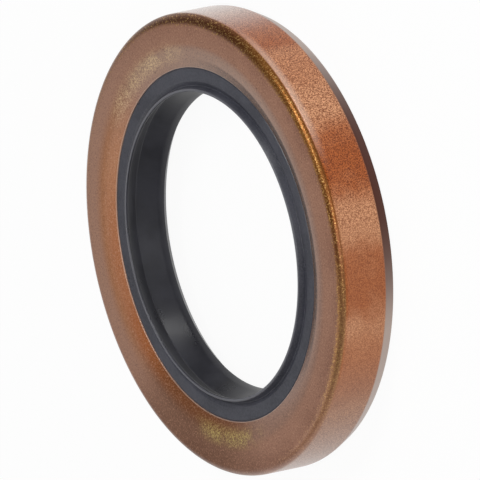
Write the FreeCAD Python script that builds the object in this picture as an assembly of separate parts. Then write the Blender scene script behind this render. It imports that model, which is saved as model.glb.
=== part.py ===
"""Radial shaft seal: lacquered sheet-steel case, bonded rubber element, garter spring.

Millimetres. The seal lies flat with its air side up: +Z is the shaft axis, pointing out of
the air side, and the origin is the centre of the case's rear edge, on which it lies.
Sections are drawn as (radius, depth), where depth counts down from the flat flange of the
air side, and are turned once round the axis. Radii are built outwards from the shaft.
"""
import FreeCAD
import Part
import math
import os

# What the seal fits
shaft_diameter = 31.75
section_height = 7.94            # radial room between shaft and housing bore
press_fit = 0.10                 # case over housing bore, on the diameter
case_width = 6.75

# Case: one drawn sheet, with a flat flange, a dished eye and a spun-in rear end
sheet = 0.75
eye_room = 2.375                 # from the shaft to the hole pierced in the flange
dish_drop = 0.45                 # how far the eye's front edge lies below the flange
dish_angle = 13.0                # mean slope of the dished ring
flange_rounding = 0.90           # outer radius of the bend from flange to wall
lead_in_length = 1.40            # spun-in rear end, along the axis
lead_in_drop = 0.70              # and how far it leans inwards

# Rubber face round the eye, and the groove between it and the dust lip
face_recess = 0.03               # below the eye's front edge
face_width = 1.41
face_rounding = 0.35
dust_groove_depth = 0.30         # to where its two flanks would meet
dust_groove_flank = 0.52         # how far the flank below the face leans inwards

# Dust lip, which reaches forward to the level of the flange
dust_lip_stretch = 0.095         # its free radius is this much under the shaft's
dust_lip_nose = 0.18             # nose radius
dust_lip_depth = 0.02            # depth of the nose's front

# Grease space between the lips, widest at one corner
grease_space = 0.675             # from the shaft to that corner
grease_corner_depth = 1.70

# Primary lip
lip_stretch = 0.305              # its free radius is this much under the shaft's
lip_to_corner = 2.69             # from the grease corner to the sealing edge, along the axis
lip_land = 0.30
lip_cone_height = 0.73           # cone on the oil side
lip_cone_length = 0.71

# Garter spring and the groove that holds it
lip_wall = 0.79                  # rubber between the sealing edge and the groove
spring_coil_diameter = 1.70
spring_clearance = 0.05
spring_offset = 0.34             # towards the air side of the sealing edge
groove_wrap = 12.0               # how far each wall reaches past the coil's middle, in degrees

# Rubber lining bonded under the dished ring, from the neck outwards
lining = 0.40
lining_width = 1.20              # from the eye outwards
lining_taper = 0.20

# Round stretches are laid as short straight runs that leave their arc by no more than this
metal_facet_sag = 0.066
rubber_facet_sag = 0.13

shaft_radius = shaft_diameter / 2
case_radius = shaft_radius + section_height + press_fit / 2
eye_radius = shaft_radius + eye_room
lip_radius = shaft_radius - lip_stretch
lip_depth = grease_corner_depth + lip_to_corner
spring_coil_radius = spring_coil_diameter / 2
spring_ring_radius = lip_radius + lip_wall + spring_clearance + spring_coil_radius
spring_depth = lip_depth - spring_offset
dish_slope = math.tan(math.radians(dish_angle))


def arc_headings(radius, start, end, sag):
    """Headings of evenly spaced places along an arc, from one to another in radians."""
    step_limit = 2 * math.acos(1 - sag / radius)
    steps = math.ceil(abs(end - start) / step_limit)
    return [start + (end - start) * step / steps for step in range(steps + 1)]


def places_round(centre, radius, headings):
    return [(centre[0] + radius * math.cos(a), centre[1] + radius * math.sin(a)) for a in headings]


def heading(start, end):
    return math.atan2(end[1] - start[1], end[0] - start[0])


def rounded(corners, sag):
    """Places along corners given as (radius, depth, rounding), with tangent bends."""
    places = [corners[0][:2]]
    for before, corner, after in zip(corners, corners[1:], corners[2:]):
        rounding = corner[2]
        if rounding == 0:
            places.append(corner[:2])
            continue
        arriving = heading(before, corner)
        turn = math.remainder(heading(corner, after) - arriving, 2 * math.pi)
        side = math.copysign(math.pi / 2, turn)
        tangent = rounding * math.tan(abs(turn) / 2)
        start = (corner[0] - tangent * math.cos(arriving), corner[1] - tangent * math.sin(arriving))
        centre = (start[0] + rounding * math.cos(arriving + side),
                  start[1] + rounding * math.sin(arriving + side))
        headings = arc_headings(rounding, arriving - side, arriving - side + turn, sag)
        places += places_round(centre, rounding, headings)
    return places + [corners[-1][:2]]


def offset_bends(corners, distance):
    """Inner corners of the path that runs at a distance from the given one, on its inner side."""
    runs = []
    for start, end in zip(corners, corners[1:]):
        way = heading(start, end)
        runs.append((start[0] - distance * math.sin(way), start[1] + distance * math.cos(way), way))
    bends = []
    for first, second in zip(runs, runs[1:]):
        across = math.sin(second[2] - first[2])
        gap_radius = second[0] - first[0]
        gap_depth = second[1] - first[1]
        along = (gap_radius * math.sin(second[2]) - gap_depth * math.cos(second[2])) / across
        bends.append((first[0] + along * math.cos(first[2]), first[1] + along * math.sin(first[2])))
    return bends


def tangent_place(centre, radius, outside, side):
    """Where the line from an outside place touches a circle, on the given side."""
    reach = math.hypot(outside[0] - centre[0], outside[1] - centre[1])
    way = heading(centre, outside) + side * math.acos(radius / reach)
    return (centre[0] + radius * math.cos(way), centre[1] + radius * math.sin(way))


def turned(places):
    """The closed section turned once round the axis."""
    points = [FreeCAD.Vector(radius, 0, case_width - depth) for radius, depth in places]
    outline = Part.makePolygon(points + points[:1])
    return Part.Face(outline).revolve(FreeCAD.Vector(0, 0, 0), FreeCAD.Vector(0, 0, 1), 360)


def below_dish(distance, radius):
    """Depth, at a radius, of a layer that lies a distance below the dished ring's front."""
    return dish_drop + distance / math.cos(math.radians(dish_angle)) - (radius - eye_radius) * dish_slope


def metal_case():
    """Drawn case of one thickness all along, with square cut ends."""
    front = [
        (eye_radius, dish_drop),
        (eye_radius + dish_drop / dish_slope, 0),
        (case_radius, 0),
        (case_radius, case_width - lead_in_length),
        (case_radius - lead_in_drop, case_width),
    ]
    outside = rounded([
        (*front[0], 0),
        (*front[1], 0),
        (*front[2], flange_rounding),
        (*front[3], 0),
        (*front[4], 0),
    ], metal_facet_sag)
    bends = offset_bends(front, sheet)
    rear_lean = lead_in_drop / lead_in_length
    rear_inside = (bends[-1][0] - rear_lean * (case_width - bends[-1][1]), case_width)
    eye_inside = (eye_radius, below_dish(sheet, eye_radius))
    return turned(outside + [rear_inside] + bends[::-1] + [eye_inside])


def sealing_element():
    """Rubber moulded round the eye: face, dust lip, primary lip, spring groove, neck and lining."""
    wrap = math.radians(groove_wrap)
    seat_radius = spring_coil_radius + spring_clearance
    seat_headings = arc_headings(seat_radius, wrap - math.pi / 2, -wrap - 3 * math.pi / 2, rubber_facet_sag)
    half_step = abs(seat_headings[1] - seat_headings[0]) / 2
    corner_radius = seat_radius / math.cos(half_step)
    seat = places_round((spring_ring_radius, spring_depth), corner_radius, seat_headings)

    neck_radius = seat[0][0]
    lining_edge = eye_radius + lining_width
    lining_foot = lining_edge - lining_taper
    neck = [
        (lining_edge, below_dish(sheet, lining_edge)),
        (lining_foot, below_dish(sheet + lining, lining_foot)),
        (neck_radius, below_dish(sheet + lining, neck_radius)),
    ]

    land_start = lip_depth - lip_land / 2
    land_end = lip_depth + lip_land / 2
    lip_end = (lip_radius + lip_cone_height, land_end + lip_cone_length)
    grease_corner = (shaft_radius + grease_space, grease_corner_depth)
    lips = [
        (seat[-1][0], lip_end[1]),
        lip_end,
        (lip_radius, land_end),
        (lip_radius, land_start),
        grease_corner,
    ]

    face_depth = dish_drop + face_recess
    face_edge = eye_radius - face_width
    groove_bottom = (face_edge - dust_groove_flank, face_depth + dust_groove_depth)
    nose = (shaft_radius - dust_lip_stretch + dust_lip_nose, dust_lip_depth + dust_lip_nose)
    nose_start = heading(nose, tangent_place(nose, dust_lip_nose, grease_corner, 1)) - 2 * math.pi
    nose_outside = tangent_place(nose, dust_lip_nose, groove_bottom, -1)
    nose_end = heading(nose, nose_outside)
    nose_headings = arc_headings(dust_lip_nose, nose_start, nose_end, rubber_facet_sag)
    face = rounded([
        (*nose_outside, 0),
        (*groove_bottom, 0),
        (face_edge, face_depth, face_rounding),
        (eye_radius, face_depth, 0),
    ], rubber_facet_sag)
    bond = [(eye_radius, below_dish(sheet, eye_radius))]
    return turned(neck + seat + lips + places_round(nose, dust_lip_nose, nose_headings) + face[1:] + bond)


def garter_spring():
    """Close-wound spring ring, as the envelope of its coil."""
    headings = arc_headings(spring_coil_radius, 0, 2 * math.pi, metal_facet_sag)
    return turned(places_round((spring_ring_radius, spring_depth), spring_coil_radius, headings[:-1]))


pieces = {
    "metal_case": metal_case(),
    "sealing_element": sealing_element(),
    "garter_spring": garter_spring(),
}

os.makedirs("parts", exist_ok=True)
for node, shape in pieces.items():
    shape.exportStep("parts/" + node + ".step")
    print(node, "valid", shape.isValid(), "volume", round(shape.Volume, 2), "faces", len(shape.Faces))
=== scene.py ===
"""Looks of the radial shaft seal: fine sections, close-wound spring, lacquer, rubber and stage.

Sections are (radius, depth) in millimetres, where depth counts down from the flat flange, as
in the part's own source. Everything is made in metres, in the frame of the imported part.
"""
import math

import bpy
from mathutils import Matrix, Vector


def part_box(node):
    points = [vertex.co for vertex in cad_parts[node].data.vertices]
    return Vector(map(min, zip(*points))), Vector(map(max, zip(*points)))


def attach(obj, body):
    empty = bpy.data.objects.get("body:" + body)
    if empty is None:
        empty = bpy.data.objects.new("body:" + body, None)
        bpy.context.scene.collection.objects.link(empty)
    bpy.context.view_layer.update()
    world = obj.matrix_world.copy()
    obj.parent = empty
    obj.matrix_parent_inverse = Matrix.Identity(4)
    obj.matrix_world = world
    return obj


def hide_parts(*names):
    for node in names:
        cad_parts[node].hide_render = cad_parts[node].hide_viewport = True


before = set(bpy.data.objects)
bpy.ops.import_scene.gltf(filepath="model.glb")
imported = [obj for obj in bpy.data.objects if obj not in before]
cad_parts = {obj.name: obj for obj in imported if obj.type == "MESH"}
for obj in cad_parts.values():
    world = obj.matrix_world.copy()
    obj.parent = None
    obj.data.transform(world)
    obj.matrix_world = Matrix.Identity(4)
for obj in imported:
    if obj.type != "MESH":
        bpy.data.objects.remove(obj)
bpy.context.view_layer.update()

MILLIMETRE = 0.001

# Read from the frame
case_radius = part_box("metal_case")[1].x / MILLIMETRE
case_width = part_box("metal_case")[1].z / MILLIMETRE
spring_low, spring_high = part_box("garter_spring")
spring_depth = case_width - (spring_low.z + spring_high.z) / 2 / MILLIMETRE
spring_coil_radius = (spring_high.z - spring_low.z) / 2 / MILLIMETRE
spring_ring_radius = spring_high.x / MILLIMETRE - spring_coil_radius

# Case
sheet = 0.75
eye_radius = 18.25
eye_rounding = 0.08
dish_drop = 0.45
dish_angle = math.radians(20)    # at the eye; the dish is one wide arc
flange_rounding = 0.15           # inside the bend, as the next one is
lead_in_bend = 0.25
lead_in_length = 1.40
lead_in_drop = 0.70
cut_edge_rounding = 0.06
dish_radius = dish_drop / (1 - math.cos(dish_angle))
dish_middle = (eye_radius + dish_radius * math.sin(dish_angle), dish_radius)

# Rubber face, dust groove and dust lip
face_depth = 0.48
face_edge = 16.84
face_rounding = 0.35
groove_bottom = (16.32, 0.78)
groove_rounding = 0.08
nose = (15.96, 0.20)
nose_radius = 0.18
flash_width = 0.16
flash_foot_share = 0.6
flash_depth = 0.07
flash_rounding = 0.03

# Primary lip, spring groove, neck and lining
grease_corner = (16.55, 1.70)
grease_corner_rounding = 0.12
lip_radius = 15.57
lip_depth = 4.39
lip_land = 0.30
lip_cone_height = 0.73
lip_cone_length = 0.71
lip_end_rounding = 0.10
spring_clearance = 0.05
groove_wrap = math.radians(12)
heel_rounding = 0.60
lining = 0.40
lining_width = 1.20
lining_taper = 0.20
lining_angle = math.radians(13)
lining_rounding = 0.08

# Garter spring
wire_diameter = 0.36
wire_pitch = 0.375
wire_sides = 6
steps_per_turn = 12

# How finely the pieces are turned
segments_round = 320
longest_run = 0.6
arc_step = math.radians(5)
sharp_edge = math.radians(32)

# Tones of the lacquer round the case, as (bearing, half width, share); bearings run from +Y to +X
flange_dark_zones = [(208, 36, 0.72)]
# Painted light: the flange's left side is lighter, as where a lamp falls
flange_painted_light_zones = [(285, 80, 1.0)]
dish_orange_zones = [(218, 42, 1.0), (260, 44, 0.7)]
# Painted light: a lighter orange sheen on the dish's left side, where a broad lamp shines
dish_painted_sheen_zones = [(282, 58, 1.0)]
# Painted reflection: a pale glancing veil over the dish's right side
dish_painted_veil_zones = [(18, 56, 0.95)]
# Painted shade: a dark band by the eye, standing for the reflection of the dark rubber across the hole
eye_shade_zones = [(80, 78, 1.0)]
# Yellow and beige fleck patches where the dish bends: partly the lacquer's own fleck pattern, partly painted
# glints of that bend
yellow_fleck_glint_zones = [(191, 21, 1.0)]
beige_fleck_glint_zones = [(341, 28, 1.0)]
# Golden bend, its band strongest at the bearings where a front light's highlight falls: gold metal with
# painted highlight
bend_painted_highlight_zones = [(340, 56, 0.8), (10, 40, 0.6), (40, 56, 1.0), (92, 60, 0.9), (138, 40, 0.3)]
# Painted shade: darker zones on the bend, its shaded side
bend_painted_shade_zones = [(14, 34, 1.0), (97, 26, 0.8), (338, 56, 0.7)]
# Painted light: a paler gold zone on the bend where its highlight fades
bend_painted_light_zones = [(135, 38, 1.0)]
# Painted shade: a dark band at the foot of the bend, beside its highlight
bend_foot_painted_shade_zones = [(74, 40, 1.0)]
bend_wide_zones = [(28, 44, 1.0)]
# Painted shade: darker zones on the wall, for its reflection of the floor shaded by the seal
wall_painted_shade_zones = [(30, 14, 0.8), (46, 12, 0.3), (76, 13, 1.0), (106, 12, 0.8), (130, 14, 0.5),
                    (215, 14, 0.7), (268, 11, 0.8), (318, 12, 0.6)]
# Painted reflection: pale glare at the wall's ends, where it is seen glancing, with more metal and coat
# there
wall_painted_glare_zones = [(0, 36, 0.9), (178, 42, 0.45)]
# Painted reflection: a dimmer grey zone of the wall beside its glare
wall_painted_dim_zones = [(158, 34, 0.45)]
wall_smooth_zones = [(118, 46, 0.6)]
# Painted highlight: a pale sheen along the wall's front edge by the bend
wall_painted_sheen_zones = [(52, 26, 1.0)]
# Painted shade: darker zones on the rear lead-in, where it mirrors the shaded floor
lead_in_painted_shade_zones = [(80, 42, 1.0), (235, 50, 0.8)]
zone_edge_play = 0.02            # how far the patches noise moves a zone's edge

# Radii and heights in millimetres where a tone starts and is full, and its shares there if not 0 and 1
wall_radii = (case_radius - 0.09, case_radius - 0.02)
lead_in_heights = (lead_in_length + 0.05, lead_in_length - 0.15)
back_radii = (23.30, 23.15)
back_heights = (6.20, 6.05)
# Painted light on the flange's left side
flange_painted_light_radii = (23.2, 22.0, 0.75, 1.0)
flange_inner_radii = (23.0, 21.0, 0.0, 0.6)
dish_radii = (20.9, 20.0)
# Painted sheen on the dish's left side
dish_painted_sheen_radii = (21.6, 20.0)
dish_orange_radii = (20.6, 18.8)
# Painted shade by the eye
eye_shade_radii = (19.45, 19.1)
# Painted highlight: a thin pale line on the eye's edge
eye_painted_highlight_radii = (18.36, 18.30, 0.0, 0.6)
# Fleck patches and painted glints where the dish bends
fleck_glint_inner_radii = (18.5, 19.8)
fleck_glint_outer_radii = (21.4, 20.0)
bend_radii = (22.90, 23.25)
bend_heights = (5.65, 6.05)
# Painted shade at the bend's foot
bend_foot_painted_shade_heights = (6.50, 6.25, 0.0, 0.85)
bend_raggedness = 1.8
bend_widening = 0.35
# Painted highlight along the wall's front edge
wall_painted_sheen_heights = (5.1, 6.0, 0.0, 0.5)

# Noises of the lacquer and the rubber, as (scale, detail, roughness)
stipple_noise = (7600.0, 2.0, 0.7)
fine_noise = (5600.0, 3.0, 0.8)
blotch_noise = (190.0, 3.0, 0.6)
patches_noise = (420.0, 2.0, 0.6)
clouds_noise = (220.0, 4.0, 0.6)
grain_noise = (5200.0, 2.0, 0.6)
drawn_noise = (3000.0, 2.0, 0.5)

# Values of a noise where a tone starts and is full, and its shares there if not 0 and 1
blotch_cut = (0.35, 0.65)
light_grain_cut = (0.50, 0.72, 0.0, 0.75)
dark_grain_cut = (0.48, 0.26, 0.0, 0.70)
# Fleck patches and painted glints where the dish bends
fleck_glint_cut = (0.47, 0.56, 0.12, 1.0)
fleck_glint_patch_cut = (0.22, 0.55)
# Painted glints: bright gold specks along the bend
bend_painted_glint_cut = (0.54, 0.64, 0.0, 0.75)
bend_pit_cut = (0.46, 0.32, 0.0, 0.7)
stipple_cut = (0.34, 0.66)
clouds_cut = (0.35, 0.65)
rubber_grain_cut = (0.35, 0.65, 0.0, 0.35)

# Lacquer tones, as linear red, green, blue and alpha
flange_thick_tone = (0.255, 0.106, 0.058, 1)
flange_thin_tone = (0.335, 0.152, 0.089, 1)
# Painted light on the flange's left side
flange_painted_light_tone = (0.388, 0.204, 0.134, 1)
flange_inner_tone = (0.368, 0.180, 0.111, 1)
flange_dark_tone = (0.125, 0.042, 0.012, 1)
flange_back_tone = (0.300, 0.130, 0.072, 1)
dish_tone = (0.285, 0.145, 0.094, 1)
# Painted reflection: pale veil on the dish's right side
dish_painted_veil_tone = (0.37, 0.23, 0.17, 1)
# Painted sheen on the dish's left side
dish_painted_sheen_tone = (0.392, 0.155, 0.058, 1)
dish_orange_tone = (0.325, 0.086, 0.009, 1)
# Painted shade by the eye
eye_shade_tone = (0.045, 0.020, 0.012, 1)
# Painted highlight on the eye's edge
eye_painted_highlight_tone = (0.55, 0.38, 0.30, 1)
light_grain_tone = (0.52, 0.28, 0.17, 1)
dark_grain_tone = (0.060, 0.020, 0.008, 1)
# Fleck patches and painted glints where the dish bends
yellow_fleck_glint_tone = (0.54, 0.40, 0.13, 1)
beige_fleck_glint_tone = (0.70, 0.50, 0.28, 1)
bend_tone = (0.24, 0.090, 0.018, 1)
# Painted shade on the bend
bend_painted_shade_tone = (0.12, 0.032, 0.005, 1)
# Painted light on the bend
bend_painted_light_tone = (0.34, 0.165, 0.072, 1)
# Painted glints on the bend
bend_painted_glint_tone = (0.74, 0.45, 0.15, 1)
bend_pit_tone = (0.07, 0.022, 0.005, 1)
# Painted shade at the bend's foot
bend_foot_painted_shade_tone = (0.130, 0.038, 0.006, 1)
# Dimmer painted reflection on the wall
wall_painted_dim_tone = (0.21, 0.140, 0.110, 1)
# Painted highlight along the wall's front edge
wall_painted_sheen_tone = (0.66, 0.47, 0.38, 1)
lead_in_pale_tone = (0.40, 0.31, 0.265, 1)
# Painted shade on the rear lead-in
lead_in_painted_shade_tone = (0.068, 0.011, 0.001, 1)

# Wall tones, each in the stipple's hollows and on its grains
wall_thin_tones = ((0.17, 0.040, 0.010, 1), (0.74, 0.370, 0.192, 1))
# Painted shade zones of the wall
wall_painted_shade_tones = ((0.12, 0.020, 0.003, 1), (0.46, 0.120, 0.024, 1))
# Painted glare at the wall's ends
wall_painted_glare_tones = ((0.27, 0.205, 0.175, 1), (0.60, 0.49, 0.44, 1))

# Shares of the lacquer's layers and of its metal and clear coat
# Share of the fleck patches and painted glints
fleck_glint_share = 0.9
# Share of the wall's painted glare
wall_painted_glare_share = 0.7
smooth_stipple_share = 0.2
flange_metal = 0.35
wall_metal = 0.55
bend_metal = 0.85
full_coat = 0.4
least_coat = 0.06
wall_coat_loss = 0.7
lacquer_roughness = 0.38
lacquer_ior = 1.45
coat_roughness = 0.2
flange_bump_share = 0.2
lacquer_bump = (0.8, 0.00002)    # strength and height

# Rubber, with sRGB tones
lip_tones = ((25, 25, 32), (35, 35, 43))
face_tones = ((50, 51, 59), (60, 61, 70))
face_grain_tone = (84, 84, 92)
# Painted highlight: a lighter grey ring on the dust lip's nose
nose_painted_highlight_tone = (104, 104, 110)
nose_painted_highlight_share = 0.7
nose_painted_highlight_heights = (6.66, 6.72)
nose_painted_highlight_radii = (16.2, 16.1)
face_slant = 0.5                 # the face begins where radius plus this much height passes the next limits
face_limits = (19.13, 19.26)
rubber_roughness = (0.3, 0.7, 0.27, 0.40)    # two values of the clouds noise, and the roughness at each
rubber_specular = 0.45
rubber_bump = (0.1, 0.00001)     # strength and height

# Spring wire, with sRGB tones
wire_tones = ((150, 148, 145), (196, 194, 190))
wire_roughness = (0.3, 0.7, 0.22, 0.38)      # two values of the drawn noise, and the roughness at each

# Stage
floor_half = 3.0
floor_grey = (0.86, 0.86, 0.86, 1)
floor_glow_share = 0.94
sky_levels = (0.02, 0.55, 1.0, 0.22)    # sines of the elevation, and the light there

# Lamps as (name, place, size, power), all aimed at the middle of the floor
lamps = [
    ("key", (0.13, 0.24, 0.36), 0.16, 0.6),
    ("front", (0.34, -0.02, 0.28), 0.24, 0.78),
    ("low", (0.26, 0.34, 0.07), 0.12, 0.2),
    ("back", (-0.20, -0.12, 0.40), 0.42, 0.35),
]

# Camera, as fitted to the outlines of the seal
camera_elevation = math.radians(31.59)
camera_roll = math.radians(-101.5)
camera_lens = 1122.5
camera_distance = 63.6           # in case radii, as the two shifts below are
camera_right_shift = 0.1251
camera_up_shift = 0.0236


def heading(start, end):
    return math.atan2(end[1] - start[1], end[0] - start[0])


def arc_places(centre, radius, start, end):
    steps = max(1, math.ceil(abs(end - start) / arc_step))
    headings = [start + (end - start) * step / steps for step in range(steps + 1)]
    return [(centre[0] + radius * math.cos(a), centre[1] + radius * math.sin(a)) for a in headings]


def rounded(corners):
    """Places along corners given as (radius, depth, rounding), with tangent arcs."""
    places = [corners[0][:2]]
    for before, corner, after in zip(corners, corners[1:], corners[2:]):
        rounding = corner[2]
        if rounding == 0:
            places.append(corner[:2])
            continue
        arriving = heading(before, corner)
        turn = math.remainder(heading(corner, after) - arriving, 2 * math.pi)
        side = math.copysign(math.pi / 2, turn)
        tangent = rounding * math.tan(abs(turn) / 2)
        start = (corner[0] - tangent * math.cos(arriving), corner[1] - tangent * math.sin(arriving))
        centre = (start[0] + rounding * math.cos(arriving + side),
                  start[1] + rounding * math.sin(arriving + side))
        places += arc_places(centre, rounding, arriving - side, arriving - side + turn)
    return places + [corners[-1][:2]]


def offset_bends(corners, distance):
    """Inner corners of the path that runs at a distance from the given one."""
    runs = []
    for start, end in zip(corners, corners[1:]):
        way = heading(start, end)
        runs.append((start[0] - distance * math.sin(way), start[1] + distance * math.cos(way), way))
    bends = []
    for first, second in zip(runs, runs[1:]):
        across = math.sin(second[2] - first[2])
        gap_radius = second[0] - first[0]
        gap_depth = second[1] - first[1]
        along = (gap_radius * math.sin(second[2]) - gap_depth * math.cos(second[2])) / across
        bends.append((first[0] + along * math.cos(first[2]), first[1] + along * math.sin(first[2])))
    return bends


def tangent_place(centre, radius, outside, side):
    """Where the line from an outside place touches a circle, on the given side."""
    reach = math.hypot(outside[0] - centre[0], outside[1] - centre[1])
    way = heading(centre, outside) + side * math.acos(radius / reach)
    return (centre[0] + radius * math.cos(way), centre[1] + radius * math.sin(way))


def under_dish(start, end):
    """Places along the underside of the dished sheet, from one radius to another."""
    headings = [-math.pi / 2 - math.asin((dish_middle[0] - radius) / (dish_middle[1] - sheet))
                for radius in (start, end)]
    return arc_places(dish_middle, dish_middle[1] - sheet, *headings)


def below_lining(radius):
    """Depth of the lining's underside at a radius."""
    layers = (sheet + lining) / math.cos(lining_angle)
    return dish_drop + layers - (radius - eye_radius) * math.tan(lining_angle)


def subdivided(places):
    """The closed section with extra places, so that no run is too long."""
    result = []
    for start, end in zip(places, places[1:] + places[:1]):
        count = max(1, math.ceil(math.dist(start, end) / longest_run))
        for step in range(count):
            share = step / count
            result.append((start[0] + (end[0] - start[0]) * share, start[1] + (end[1] - start[1]) * share))
    return result


def case_section():
    front = [
        (dish_middle[0], 0),
        (case_radius, 0),
        (case_radius, case_width - lead_in_length),
        (case_radius - lead_in_drop, case_width),
    ]
    flange_inside, rear_inside = offset_bends(front, sheet)
    rear_lean = lead_in_drop / lead_in_length
    rear_end = (rear_inside[0] - rear_lean * (case_width - rear_inside[1]), case_width)
    dish_front = arc_places(dish_middle, dish_middle[1], -math.pi / 2 - dish_angle, -math.pi / 2)
    dish_back = under_dish(dish_middle[0], eye_radius)
    outline = rounded([
        dish_back[-1],
        (*dish_front[0], eye_rounding),
        *[(*place, 0) for place in dish_front[1:]],
        (*front[1], flange_rounding + sheet),
        (*front[2], lead_in_bend + sheet),
        (*front[3], cut_edge_rounding),
        (*rear_end, cut_edge_rounding),
        (*rear_inside, lead_in_bend),
        (*flange_inside, flange_rounding),
        *[(*place, 0) for place in dish_back],
    ])
    return outline[:-1]


def element_section():
    seat_radius = spring_coil_radius + spring_clearance
    seat_middle = (spring_ring_radius, spring_depth)
    seat = arc_places(seat_middle, seat_radius, groove_wrap - math.pi / 2, -groove_wrap - 3 * math.pi / 2)
    lining_edge = eye_radius + lining_width
    lining_foot = lining_edge - lining_taper
    bond = under_dish(eye_radius, lining_edge)
    land_start = lip_depth - lip_land / 2
    land_end = lip_depth + lip_land / 2
    lip_end = (lip_radius + lip_cone_height, land_end + lip_cone_length)
    nose_inside = tangent_place(nose, nose_radius, grease_corner, 1)
    nose_outside = tangent_place(nose, nose_radius, groove_bottom, -1)
    nose_arc = arc_places(nose, nose_radius, heading(nose, nose_inside) - 2 * math.pi,
                          heading(nose, nose_outside))
    neck = rounded([
        (*bond[-1], 0),
        (lining_foot, below_lining(lining_foot), lining_rounding),
        (seat[0][0], below_lining(seat[0][0]), heel_rounding),
        (*seat[0], 0),
    ])
    lips = rounded([
        (*seat[-1], 0),
        (seat[-1][0], lip_end[1], lip_end_rounding),
        (*lip_end, lip_end_rounding),
        (lip_radius, land_end, 0),
        (lip_radius, land_start, 0),
        (*grease_corner, grease_corner_rounding),
        (*nose_inside, 0),
    ])
    face = rounded([
        (*nose_outside, 0),
        (*groove_bottom, groove_rounding),
        (face_edge, face_depth, face_rounding),
        (eye_radius - flash_width, face_depth, flash_rounding),
        (eye_radius - flash_width * flash_foot_share, face_depth + flash_depth, flash_rounding),
        (eye_radius, face_depth + flash_depth, 0),
    ])
    return neck[:-1] + seat + lips[1:-1] + nose_arc + face[1:] + bond[:-1]


def new_piece(name, vertices, faces):
    mesh = bpy.data.meshes.new(name)
    mesh.from_pydata(vertices, [], faces)
    mesh.validate()
    piece = bpy.data.objects.new(name, mesh)
    bpy.context.scene.collection.objects.link(piece)
    return piece


def turned(name, section):
    """The section turned once round the axis, smooth but for its real edges."""
    places = subdivided(section)
    count = len(places)
    vertices = []
    for segment in range(segments_round):
        angle = 2 * math.pi * segment / segments_round
        for radius, depth in places:
            vertices.append((radius * math.cos(angle) * MILLIMETRE,
                             radius * math.sin(angle) * MILLIMETRE,
                             (case_width - depth) * MILLIMETRE))
    faces = []
    for segment in range(segments_round):
        here = segment * count
        there = (segment + 1) % segments_round * count
        for place in range(count):
            following = (place + 1) % count
            faces.append((here + place, here + following, there + following, there + place))
    piece = new_piece(name, vertices, faces)
    piece.data.shade_smooth()
    piece.data.set_sharp_from_angle(angle=sharp_edge)
    return piece


def wound_spring(name):
    """A close-wound coil whose turns run once round the ring."""
    turns = round(2 * math.pi * spring_ring_radius / wire_pitch)
    middle_radius = spring_coil_radius - wire_diameter / 2
    steps = turns * steps_per_turn
    middles = []
    for step in range(steps):
        round_ring = 2 * math.pi * step / steps
        round_coil = 2 * math.pi * step / steps_per_turn
        radius = spring_ring_radius + middle_radius * math.cos(round_coil)
        middles.append(Vector((radius * math.cos(round_ring), radius * math.sin(round_ring),
                               case_width - spring_depth + middle_radius * math.sin(round_coil))))
    vertices = []
    for step in range(steps):
        round_ring = 2 * math.pi * step / steps
        ring_middle = Vector((spring_ring_radius * math.cos(round_ring),
                              spring_ring_radius * math.sin(round_ring), case_width - spring_depth))
        along = (middles[(step + 1) % steps] - middles[step - 1]).normalized()
        outwards = (middles[step] - ring_middle).normalized()
        across = along.cross(outwards).normalized()
        outwards = across.cross(along)
        for side in range(wire_sides):
            turn = 2 * math.pi * side / wire_sides
            place = middles[step] + (outwards * math.cos(turn) + across * math.sin(turn)) * wire_diameter / 2
            vertices.append(tuple(place * MILLIMETRE))
    faces = []
    for step in range(steps):
        here = step * wire_sides
        there = (step + 1) % steps * wire_sides
        for side in range(wire_sides):
            following = (side + 1) % wire_sides
            faces.append((here + side, there + side, there + following, here + following))
    piece = new_piece(name, vertices, faces)
    piece.data.shade_smooth()
    return piece


def linear(tone):
    """An sRGB colour, 0 to 255, as a linear one."""
    parts = []
    for part in tone:
        share = part / 255
        parts.append(share / 12.92 if share <= 0.04045 else ((share + 0.055) / 1.055) ** 2.4)
    return (*parts, 1.0)


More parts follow.
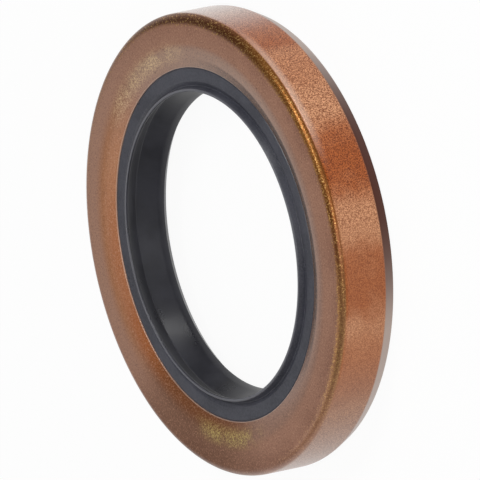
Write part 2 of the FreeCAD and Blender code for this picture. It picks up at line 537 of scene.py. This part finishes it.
class Nodes:
    """Adds nodes to a material or world and links them."""

    def __init__(self, tree):
        self.tree = tree
        tree.nodes.clear()

    def add(self, kind, **settings):
        node = self.tree.nodes.new("ShaderNode" + kind)
        for name, value in settings.items():
            setattr(node, name, value)
        return node

    def put(self, socket, value):
        if isinstance(value, bpy.types.NodeSocket):
            self.tree.links.new(value, socket)
        else:
            socket.default_value = value

    def math(self, operation, first, second, clamp=False):
        node = self.add("Math", operation=operation, use_clamp=clamp)
        self.put(node.inputs[0], first)
        self.put(node.inputs[1], second)
        return node.outputs[0]

    def product(self, first, *others):
        for other in others:
            first = self.math("MULTIPLY", first, other)
        return first

    def largest(self, first, *others):
        for other in others:
            first = self.math("MAXIMUM", first, other)
        return first

    def ramp(self, value, low, high, low_result=0.0, high_result=1.0):
        """Smooth step of a value from one result to another."""
        node = self.add("MapRange", interpolation_type="SMOOTHSTEP")
        for socket, number in zip(node.inputs[:5], (value, low, high, low_result, high_result)):
            self.put(socket, number)
        return node.outputs[0]

    def mix(self, share, first, second):
        node = self.add("Mix", data_type="RGBA")
        self.put(node.inputs[0], share)
        self.put(node.inputs[6], first)
        self.put(node.inputs[7], second)
        return node.outputs[2]

    def layered(self, tint, layers):
        """A tint with layers of (share, tint) over it, the last one on top."""
        for share, layer in layers:
            tint = self.mix(share, tint, layer)
        return tint

    def noise(self, place, scale, detail, roughness):
        node = self.add("TexNoise")
        self.put(node.inputs["Vector"], place)
        self.put(node.inputs["Scale"], scale)
        self.put(node.inputs["Detail"], detail)
        self.put(node.inputs["Roughness"], roughness)
        return node.outputs["Fac"]

    def bump(self, height, strength, distance):
        node = self.add("Bump")
        self.put(node.inputs["Strength"], strength)
        self.put(node.inputs["Distance"], distance)
        self.put(node.inputs["Height"], height)
        return node.outputs[0]

    def vector_math(self, operation, first, second=(0, 0, 0), output="Vector"):
        node = self.add("VectorMath", operation=operation)
        self.put(node.inputs[0], first)
        self.put(node.inputs[1], second)
        return node.outputs[output]

    def turned_place(self):
        """A point's place, its place across the axis, and its radius and height in millimetres."""
        place = self.add("TexCoord").outputs["Object"]
        across = self.vector_math("MULTIPLY", place, (1, 1, 0))
        radius = self.math("DIVIDE", self.vector_math("LENGTH", across, output="Value"), MILLIMETRE)
        split = self.add("SeparateXYZ")
        self.put(split.inputs[0], place)
        height = self.math("DIVIDE", split.outputs[2], MILLIMETRE)
        return place, across, radius, height


def new_material(name):
    material = bpy.data.materials.new(name)
    material.use_nodes = True
    nodes = Nodes(material.node_tree)
    output = nodes.add("OutputMaterial")
    shader = nodes.add("BsdfPrincipled")
    nodes.put(output.inputs["Surface"], shader.outputs[0])
    return material, nodes, shader


class CaseLacquer:
    """Noises of the lacquer, the parts of the case where it differs, and its tint on each."""

    def __init__(self, nodes):
        self.nodes = nodes
        place, across, self.radius, self.height = nodes.turned_place()
        self.outward = nodes.vector_math("NORMALIZE", across)
        self.stipple = nodes.noise(place, *stipple_noise)
        self.fine = nodes.noise(place, *fine_noise)
        self.blotch = nodes.noise(place, *blotch_noise)
        self.patches = nodes.noise(place, *patches_noise)
        self.edge_play = nodes.product(nodes.math("SUBTRACT", self.patches, 0.5), zone_edge_play)

        self.on_wall = nodes.ramp(self.radius, *wall_radii)
        self.on_lead_in = nodes.ramp(self.height, *lead_in_heights)
        self.on_back = nodes.product(
            nodes.ramp(self.height, *back_heights),
            nodes.ramp(self.radius, *back_radii),
        )
        # Golden bend, with painted highlight by bearing
        self.bend_gold_and_highlight = self.bend_gold_and_highlight_share()
        # Painted shade by the eye, also left without clear coat
        self.eye_shade = self.within(eye_shade_zones, self.radius, eye_shade_radii)
        self.flange_dark = self.zones_share(flange_dark_zones)
        # Painted glare at the wall's ends
        self.wall_painted_glare = nodes.product(self.zones_share(wall_painted_glare_zones), self.on_wall)

    def zones_share(self, zones):
        """Share of a tone round the axis, in zones of (bearing, half width, share)."""
        nodes = self.nodes
        share = 0.0
        for bearing, half_width, most in zones:
            way = (math.sin(math.radians(bearing)), math.cos(math.radians(bearing)), 0)
            nearness = nodes.vector_math("DOT_PRODUCT", self.outward, way, "Value")
            nearness = nodes.math("ADD", nearness, self.edge_play)
            zone = nodes.ramp(nearness, math.cos(math.radians(half_width)), 1.0, 0.0, most)
            share = nodes.math("ADD", share, zone, clamp=True)
        return share

    def within(self, zones, measure, limits):
        """Share of a tone that is kept to its zones and to limits of radius or height."""
        return self.nodes.product(self.zones_share(zones), self.nodes.ramp(measure, *limits))

    def bend_gold_and_highlight_share(self):
        """Share of the golden bend, strongest at the bearings where its highlight is painted, with a ragged
        edge, and none inside the case.
        """
        nodes = self.nodes
        grain_shift = nodes.product(nodes.math("SUBTRACT", self.fine, 0.5), bend_raggedness)
        widening = nodes.product(self.zones_share(bend_wide_zones), bend_widening)
        ragged = nodes.math("ADD", nodes.math("ADD", self.radius, grain_shift), widening)
        return nodes.product(
            nodes.ramp(ragged, *bend_radii),
            nodes.ramp(self.height, *bend_heights),
            self.zones_share(bend_painted_highlight_zones),
            nodes.math("SUBTRACT", 1.0, self.on_back),
        )

    def flange_tint(self):
        """Brown flange and dish, with grain, fleck patches that are partly painted glints, darker zones,
        paler zones of painted light and reflection, painted shade and a painted highlight by the eye, and
        the inside's even tone.
        """
        nodes = self.nodes
        on_dish = nodes.ramp(self.radius, *dish_radii)
        # fleck patches, partly painted glints where the dish bends
        fleck_glints = nodes.product(
            nodes.ramp(self.fine, *fleck_glint_cut),
            nodes.ramp(self.patches, *fleck_glint_patch_cut),
            nodes.ramp(self.radius, *fleck_glint_inner_radii),
            nodes.ramp(self.radius, *fleck_glint_outer_radii),
        )

        def fleck_glinted(zones):
            return nodes.product(fleck_glints, self.zones_share(zones), fleck_glint_share)

        base = nodes.mix(nodes.ramp(self.blotch, *blotch_cut), flange_thick_tone, flange_thin_tone)
        return nodes.layered(base, [
            # painted light on the flange's left side
            (self.within(flange_painted_light_zones, self.radius, flange_painted_light_radii), flange_painted_light_tone),
            (nodes.ramp(self.radius, *flange_inner_radii), flange_inner_tone),
            (on_dish, dish_tone),
            # painted reflection: pale veil on the dish's right side
            (nodes.product(self.zones_share(dish_painted_veil_zones), on_dish), dish_painted_veil_tone),
            # painted sheen on the dish's left side
            (self.within(dish_painted_sheen_zones, self.radius, dish_painted_sheen_radii), dish_painted_sheen_tone),
            (self.within(dish_orange_zones, self.radius, dish_orange_radii), dish_orange_tone),
            (self.eye_shade, eye_shade_tone),
            (self.flange_dark, flange_dark_tone),
            (nodes.ramp(self.fine, *light_grain_cut), light_grain_tone),
            (nodes.ramp(self.fine, *dark_grain_cut), dark_grain_tone),
            (fleck_glinted(yellow_fleck_glint_zones), yellow_fleck_glint_tone),
            (fleck_glinted(beige_fleck_glint_zones), beige_fleck_glint_tone),
            # painted highlight on the eye's edge
            (nodes.ramp(self.radius, *eye_painted_highlight_radii), eye_painted_highlight_tone),
            (self.on_back, flange_back_tone),
        ])

    def bend_gold_and_highlight_tint(self):
        """Golden brown of the bend, with painted shade and painted light in zones, painted glints, pits, and
        painted shade at its foot.
        """
        nodes = self.nodes
        return nodes.layered(bend_tone, [
            (self.zones_share(bend_painted_shade_zones), bend_painted_shade_tone),
            (self.zones_share(bend_painted_light_zones), bend_painted_light_tone),
            (nodes.ramp(self.fine, *bend_painted_glint_cut), bend_painted_glint_tone),
            (nodes.ramp(self.fine, *bend_pit_cut), bend_pit_tone),
            (self.within(bend_foot_painted_shade_zones, self.height, bend_foot_painted_shade_heights), bend_foot_painted_shade_tone),
        ])

    def wall_tint(self):
        """Stippled copper of the wall, with painted shade in darker zones, painted glare and a dimmer
        painted reflection in pale and dim zones, and a painted highlight by the bend.
        """
        nodes = self.nodes
        contrast = nodes.ramp(self.zones_share(wall_smooth_zones), 0, 1, 1.0, smooth_stipple_share)
        grains = nodes.math("SUBTRACT", nodes.ramp(self.stipple, *stipple_cut), 0.5)
        grains = nodes.math("ADD", nodes.product(grains, contrast), 0.5)
        return nodes.layered(nodes.mix(grains, *wall_thin_tones), [
            (self.zones_share(wall_painted_shade_zones), nodes.mix(grains, *wall_painted_shade_tones)),
            (nodes.product(self.wall_painted_glare, wall_painted_glare_share), nodes.mix(grains, *wall_painted_glare_tones)),
            (self.zones_share(wall_painted_dim_zones), wall_painted_dim_tone),
            (self.within(wall_painted_sheen_zones, self.height, wall_painted_sheen_heights), wall_painted_sheen_tone),
        ])

    def lead_in_tint(self):
        # Pale lead-in, with painted shade in its darker zones
        return self.nodes.mix(self.zones_share(lead_in_painted_shade_zones), lead_in_pale_tone, lead_in_painted_shade_tone)

    def metal_share(self):
        nodes = self.nodes
        return nodes.largest(
            nodes.ramp(self.on_wall, 0, 1, flange_metal, wall_metal),
            nodes.product(self.bend_gold_and_highlight, bend_metal),
            self.on_lead_in,
            self.wall_painted_glare,
        )

    def coat_weight(self):
        nodes = self.nodes
        uncoated = nodes.largest(
            self.bend_gold_and_highlight,
            self.on_lead_in,
            self.eye_shade,
            self.flange_dark,
            nodes.product(self.on_wall, wall_coat_loss),
        )
        return nodes.largest(nodes.ramp(uncoated, 0, 1, full_coat, least_coat), self.wall_painted_glare)


def lacquer_material():
    """Copper-brown lacquer: stippled wall, smoother flange, golden bend and paler rear end, with painted
    highlights, reflections and shade in zones round the case.
    """
    material, nodes, shader = new_material("copper_lacquer")
    lacquer = CaseLacquer(nodes)
    tint = nodes.layered(lacquer.flange_tint(), [
        (lacquer.bend_gold_and_highlight, lacquer.bend_gold_and_highlight_tint()),
        (lacquer.on_wall, lacquer.wall_tint()),
        (lacquer.on_lead_in, lacquer.lead_in_tint()),
    ])
    nodes.put(shader.inputs["Base Color"], tint)
    nodes.put(shader.inputs["Metallic"], lacquer.metal_share())
    nodes.put(shader.inputs["Coat Weight"], lacquer.coat_weight())
    shader.inputs["Roughness"].default_value = lacquer_roughness
    shader.inputs["IOR"].default_value = lacquer_ior
    shader.inputs["Coat Roughness"].default_value = coat_roughness
    bump_height = nodes.product(lacquer.stipple, nodes.ramp(lacquer.on_wall, 0, 1, flange_bump_share, 1.0))
    nodes.put(shader.inputs["Normal"], nodes.bump(bump_height, *lacquer_bump))
    return material


def rubber_material():
    """Moulded satin rubber with a faint blue-grey cast, greyer on the face, with a painted highlight on the
    dust lip's nose.
    """
    material, nodes, shader = new_material("satin_rubber")
    place, _, radius, height = nodes.turned_place()
    on_face = nodes.ramp(nodes.math("ADD", radius, nodes.product(height, face_slant)), *face_limits)
    # Painted highlight on the dust lip's nose
    nose_painted_highlight = nodes.product(nodes.ramp(height, *nose_painted_highlight_heights), nodes.ramp(radius, *nose_painted_highlight_radii), nose_painted_highlight_share)
    clouds = nodes.noise(place, *clouds_noise)
    grain = nodes.noise(place, *grain_noise)
    cloudy = nodes.ramp(clouds, *clouds_cut)
    face_tint = nodes.layered(nodes.mix(cloudy, *map(linear, face_tones)), [
        (nodes.ramp(grain, *rubber_grain_cut), linear(face_grain_tone)),
    ])
    tint = nodes.layered(nodes.mix(cloudy, *map(linear, lip_tones)), [
        (on_face, face_tint),
        (nose_painted_highlight, linear(nose_painted_highlight_tone)),
    ])
    nodes.put(shader.inputs["Base Color"], tint)
    nodes.put(shader.inputs["Roughness"], nodes.ramp(clouds, *rubber_roughness))
    shader.inputs["Specular IOR Level"].default_value = rubber_specular
    nodes.put(shader.inputs["Normal"], nodes.bump(grain, *rubber_bump))
    return material


def spring_material():
    """Bright drawn wire, with faint lengthwise differences."""
    material, nodes, shader = new_material("spring_wire")
    place = nodes.add("TexCoord").outputs["Object"]
    drawn = nodes.noise(place, *drawn_noise)
    nodes.put(shader.inputs["Base Color"], nodes.mix(drawn, *map(linear, wire_tones)))
    nodes.put(shader.inputs["Roughness"], nodes.ramp(drawn, *wire_roughness))
    shader.inputs["Metallic"].default_value = 1.0
    return material


def stage_floor():
    """White ground that keeps the seal's shadow and looks white in reflections too."""
    corners = [(-1, -1), (1, -1), (1, 1), (-1, 1)]
    floor = new_piece("floor", [(x * floor_half, y * floor_half, 0) for x, y in corners], [(0, 1, 2, 3)])
    material = bpy.data.materials.new("stage_white")
    material.use_nodes = True
    nodes = Nodes(material.node_tree)
    output = nodes.add("OutputMaterial")
    paper = nodes.add("BsdfDiffuse")
    paper.inputs["Color"].default_value = floor_grey
    glow = nodes.add("Emission")
    glow.inputs["Strength"].default_value = 1.0
    rays = nodes.add("LightPath")
    seen = nodes.math("ADD", rays.outputs["Is Camera Ray"], rays.outputs["Is Glossy Ray"], clamp=True)
    seen = nodes.math("ADD", seen, rays.outputs["Is Transmission Ray"], clamp=True)
    blend = nodes.add("MixShader")
    nodes.put(blend.inputs[0], nodes.product(seen, floor_glow_share))
    nodes.put(blend.inputs[1], paper.outputs[0])
    nodes.put(blend.inputs[2], glow.outputs[0])
    nodes.put(output.inputs["Surface"], blend.outputs[0])
    floor.data.materials.append(material)


def studio_world():
    """Plain studio: white at the horizon, dimmer overhead."""
    world = bpy.data.worlds.new("studio")
    bpy.context.scene.world = world
    world.use_nodes = True
    nodes = Nodes(world.node_tree)
    output = nodes.add("OutputWorld")
    split = nodes.add("SeparateXYZ")
    nodes.put(split.inputs[0], nodes.add("TexCoord").outputs["Generated"])
    sky = nodes.add("Background")
    nodes.put(sky.inputs["Color"], nodes.ramp(split.outputs[2], *sky_levels))
    nodes.put(output.inputs["Surface"], sky.outputs[0])


def area_lamp(name, place, size, power):
    lamp = bpy.data.lights.new(name, "AREA")
    lamp.shape = "DISK"
    lamp.size = size
    lamp.energy = power
    holder = bpy.data.objects.new(name, lamp)
    bpy.context.scene.collection.objects.link(holder)
    aim = (-Vector(place)).to_track_quat("-Z", "Y")
    holder.matrix_world = Matrix.Translation(Vector(place)) @ aim.to_matrix().to_4x4()


def fitted_camera():
    """The photograph's view: low over the seal along -X, and rolled."""
    forward = Vector((-math.cos(camera_elevation), 0, -math.sin(camera_elevation)))
    level_right = Vector((0, 1, 0))
    level_up = level_right.cross(forward)
    right = level_right * math.cos(camera_roll) + level_up * math.sin(camera_roll)
    up = level_up * math.cos(camera_roll) - level_right * math.sin(camera_roll)
    shift = right * camera_right_shift + up * camera_up_shift - forward * camera_distance
    place = Vector((0, 0, case_width)) * MILLIMETRE + shift * case_radius * MILLIMETRE
    camera = bpy.data.cameras.new("camera")
    camera.lens = camera_lens
    camera.sensor_width = 36
    camera.clip_start = 0.1
    camera.clip_end = 20
    holder = bpy.data.objects.new("camera", camera)
    bpy.context.scene.collection.objects.link(holder)
    turn = Matrix((right, up, -forward)).transposed().to_4x4()
    holder.matrix_world = Matrix.Translation(place) @ turn
    bpy.context.scene.camera = holder


def dress(piece, material, node):
    piece.data.materials.append(material)
    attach(piece, "root")
    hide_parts(node)


dress(turned("lacquered_case", case_section()), lacquer_material(), "metal_case")
dress(turned("rubber_element", element_section()), rubber_material(), "sealing_element")
dress(wound_spring("wound_spring"), spring_material(), "garter_spring")

stage_floor()
studio_world()
for lamp_settings in lamps:
    area_lamp(*lamp_settings)
fitted_camera()
bpy.context.scene.view_settings.view_transform = "Standard"
